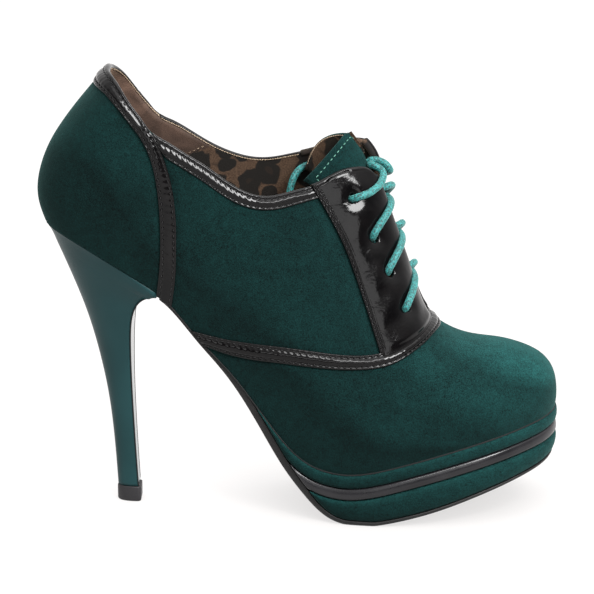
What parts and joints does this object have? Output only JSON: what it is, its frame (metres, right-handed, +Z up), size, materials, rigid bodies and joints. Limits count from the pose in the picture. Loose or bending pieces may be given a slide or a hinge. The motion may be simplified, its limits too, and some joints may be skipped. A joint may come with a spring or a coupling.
{
  "type": "heeled lace-up boot",
  "caption": "Right-foot lace-up ankle boot with a slim high heel, a tiered platform, a suede upper and glossy bindings and lace facings.",
  "frame": {"origin": "on the floor, at the middle of the length and width", "axes": "+X to the toe, +Y to the inner (medial) side, +Z up"},
  "size_m": [0.236, 0.0854, 0.2021],
  "materials": {
    "suede": "napped",
    "patent": "high gloss",
    "lining": "matt",
    "lace": "waxed cord",
    "heel_cover": "satin",
    "outsole": "satin",
    "top_piece": "satin"
  },
  "bodies": {
    "root": {"upper": "suede", "tongue": "suede", "platform_rand": "suede", "platform_lower": "suede", "counter_binding": "patent", "collar_binding_lateral": "patent", "collar_binding_medial": "patent", "vamp_strip": "patent", "eyestay_lateral": "patent", "eyestay_medial": "patent", "facing_strip_lateral": "patent", "facing_strip_medial": "patent", "platform_band": "patent", "insole": "lining", "lace_crossings": "lace", "heel": "heel_cover", "outsole": "outsole", "top_piece": "top_piece"}
  },
  "joints": []
}
